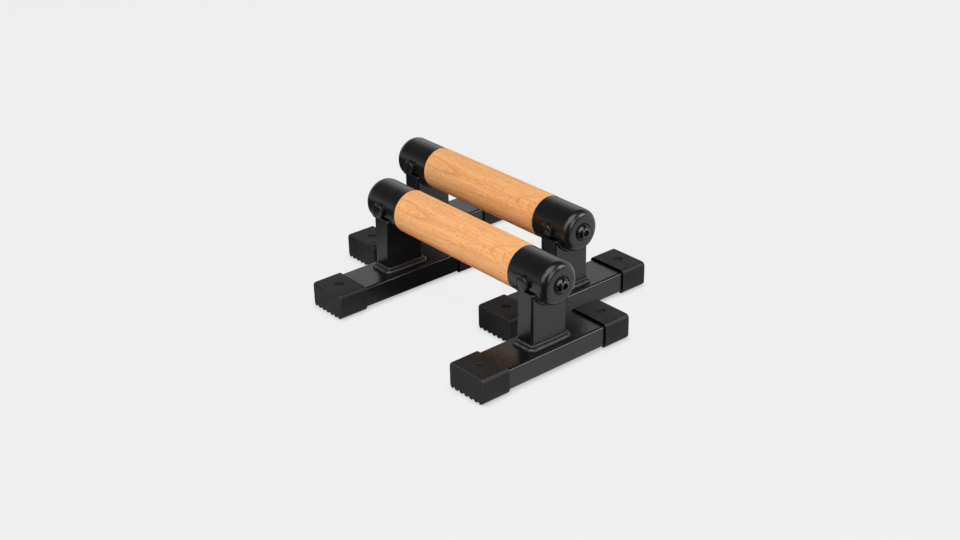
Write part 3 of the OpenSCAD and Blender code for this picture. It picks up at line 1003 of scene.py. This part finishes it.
def floor_material():
    """Pale, with the object's shadow and a painted contact shadow; gloss sees the studio through it, with
    painted shade under the object.

    The near and the far share add up. SHADE_LEFT has two places along X, and scales their sum.
    """
    material, nodes, shader = new_material("floor")
    rays = nodes.add("ShaderNodeLightPath", {}).outputs
    place = nodes.coords("Object")
    reach = nodes.vectors("LENGTH", place).outputs["Value"]

    # Painted shade: the floor bounces less light near the object
    bounce = nodes.mix(rays["Is Diffuse Ray"], WHITE, nodes.ramp(reach, *BOUNCE))
    nodes.fill(shader, {
        "Base Color": nodes.mix(1.0, BACKGROUND, bounce, "MULTIPLY"),
        "Roughness": FLOOR_ROUGHNESS,
        "Specular IOR Level": 0.0,
    })
    # Painted contact shadow: the floor's glow darkens where something is close above it
    touch = nodes.add("ShaderNodeAmbientOcclusion", {"Distance": TOUCH_REACH}, samples=TOUCH_SAMPLES)
    strength = nodes.ramp(touch.outputs["AO"], 0.0, 1.0, TOUCH_DARK, 1.0)
    glow = nodes.add("ShaderNodeEmission", {"Color": BACKGROUND, "Strength": strength})
    seen = seen_rays(nodes, rays, ("Is Camera Ray", "Is Transmission Ray"))
    seen_share = nodes.maths("MULTIPLY", seen, FLOOR_GLOW)
    plain = nodes.add("ShaderNodeMixShader", {"Fac": seen_share, 1: shader.outputs[0], 2: glow.outputs[0]})

    # Painted shade in gloss: less of the studio shows through the floor near the object
    open_share = nodes.maths("ADD", nodes.ramp(reach, *SHADE_NEAR), nodes.ramp(reach, *SHADE_FAR))
    open_share = nodes.maths("MULTIPLY", open_share, nodes.ramp(nodes.split(place)["X"], *SHADE_LEFT))
    clear = nodes.add("ShaderNodeBsdfTransparent", {"Color": open_share})
    glossy = rays["Is Glossy Ray"]
    both = nodes.add("ShaderNodeMixShader", {"Fac": glossy, 1: plain.outputs[0], 2: clear.outputs[0]})
    nodes.fill(material.node_tree.nodes["Material Output"], {"Surface": both.outputs[0]})
    return material


def make_floor():
    mesh = bpy.data.meshes.new("floor")
    half = FLOOR_HALF
    corners = [(-half, -half, 0), (half, -half, 0), (half, half, 0), (-half, half, 0)]
    mesh.from_pydata(corners, [], [(0, 1, 2, 3)])
    mesh.materials.append(floor_material())
    floor = new_object("floor", mesh)


def finish_nodes(frame, words, material):
    """Gives a material to the CAD nodes whose names end in one of the words."""
    for name, node in frame["nodes"].items():
        if name.endswith(words):
            node.data.materials.clear()
            node.data.materials.append(material)


def cross_bolt_place(bar, node):
    """On the handle's axis, where the bolt crosses it."""
    place = box_middle(node)
    place.y, place.z = bar_origin(bar).yz
    return place


def cap_place(node, end):
    """The middle of a cap's mouth, at the height of its sole."""
    low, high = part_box(node)
    mouth_y = high[1] if end == "near" else low[1]
    return Vector(((low[0] + high[0]) / 2, mouth_y, low[2]))


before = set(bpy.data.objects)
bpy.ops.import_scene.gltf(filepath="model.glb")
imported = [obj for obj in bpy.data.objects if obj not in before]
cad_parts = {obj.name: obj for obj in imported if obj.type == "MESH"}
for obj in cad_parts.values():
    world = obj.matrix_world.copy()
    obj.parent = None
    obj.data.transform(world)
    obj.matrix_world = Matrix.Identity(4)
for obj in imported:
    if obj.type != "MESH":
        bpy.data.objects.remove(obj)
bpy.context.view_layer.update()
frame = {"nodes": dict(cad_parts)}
bpy.context.scene.view_settings.view_transform = "Standard"
make_camera()
make_lights()
make_world()
make_floor()

beech = beech_material()
coat = coat_material("powder_coat", COAT_COLOUR, roughness=0.28, peel_per_m=900.0, peel_depth=0.05 * MM)
# The foot welds' coat is a lighter copy of the powder coat: a painted sheen on the beads
weld = coat_material("coated_weld", WELD_SHEEN_COLOUR, roughness=0.30, peel_per_m=1100.0, peel_depth=0.06 * MM)
rubber = rubber_material()
black_steel = bolt_material("black_steel", END_BOLT_COLOUR, roughness=0.20, gloss=0.7)
satin_steel = bolt_material("satin_steel", CROSS_BOLT_COLOUR, roughness=0.25, gloss=0.60)
black_zinc = bolt_material("black_zinc", WASHER_COLOUR, roughness=0.40, gloss=0.3)
finish_nodes(frame, ("_post", "_foot_tube"), coat)

for bar in BARS:
    dress(f"{bar}_handle", handle_shape(bar), beech)
    cap = cap_shape(bar)
    for side in SIDES:
        corner = f"{bar}_{side}"
        flips = (1, 1, 1) if side == "right" else (-1, 1, 1)
        dress(f"{corner}_cup", cup_shape(bar), coat, flips)
        cross = f"{corner}_cross_bolt"
        cross_place = cross_bolt_place(bar, cross)
        dress(cross, cross_bolt_shape(bar), satin_steel, place=cross_place)
        dress(f"{corner}_end_washer", washer_shape(bar), black_zinc, flips)
        dress(f"{corner}_end_bolt", end_bolt_shape(bar), black_steel, flips)
        dress(f"{corner}_foot_weld", foot_weld_shape(bar, side), weld, flips)
        dress(f"{corner}_cup_weld", cup_weld_shape(bar, side), coat, flips)
        for end in ENDS:
            node = f"{corner}_{end}_foot_cap"
            cap_flips = (1, -1 if end == "near" else 1, 1)
            dress(node, cap, rubber, cap_flips, cap_place(node, end))
